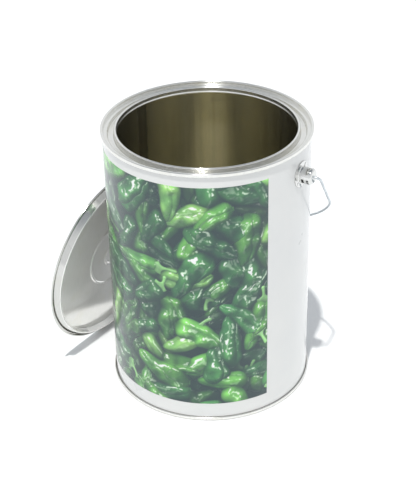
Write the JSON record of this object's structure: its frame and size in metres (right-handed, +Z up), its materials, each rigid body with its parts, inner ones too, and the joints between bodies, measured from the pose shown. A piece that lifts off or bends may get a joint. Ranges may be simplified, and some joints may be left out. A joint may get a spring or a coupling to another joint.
{
  "type": "paint can",
  "caption": "Tall round metal paint can with an open lever-lid ring, wire bail on side ears, printed front label and its loose lid leaning beside it.",
  "frame": {"origin": "the can's axis at the plane of its base rim, which stands on the floor", "axes": "+Z up along the can's axis and out of its mouth, +X out through the right-hand ear along the bail's pivot axis, -Y towards the printed front"},
  "size_m": [0.2139, 0.169, 0.2289],
  "materials": {
    "coated_body": "gloss white coating outside, tinplate with a clear olive lacquer inside",
    "seam_lacquer": "dull lacquer stripe over the weld",
    "tinplate": "bright tinplate, faint rolling grain",
    "compound": "matt sealing compound",
    "label": "gloss laminated print of green peppers",
    "ear_steel": "bright pressed steel",
    "bail_steel": "galvanised drawn wire",
    "lid_tinplate": "satin tinplate with bright pressed rims"
  },
  "bodies": {
    "can": {"body_shell": "coated_body", "side_seam_stripe": "seam_lacquer", "base_end": "tinplate", "base_seam_compound": "compound", "lever_ring": "tinplate", "ring_seam_compound": "compound", "label_wrap": "label", "ear_right": "ear_steel", "ear_left": "ear_steel", "ear_right_welds": "ear_steel", "ear_left_welds": "ear_steel"},
    "bail": {"bail_wire": "bail_steel"},
    "lid": {"lid": "lid_tinplate"}
  },
  "joints": [
    {"name": "bail_swing", "type": "hinge", "parent": "can", "child": "bail", "pos_m": [0, 0, 0.205], "axis": [1, 0, 0], "range_deg": [0, 277]},
    {"name": "lid_tip", "type": "hinge", "parent": "can", "child": "lid", "pos_m": [-0.11119, 0.00281, 0.0009], "axis": [-0.1045, -0.9945, 0], "range_deg": [0, 98.2]}
  ]
}
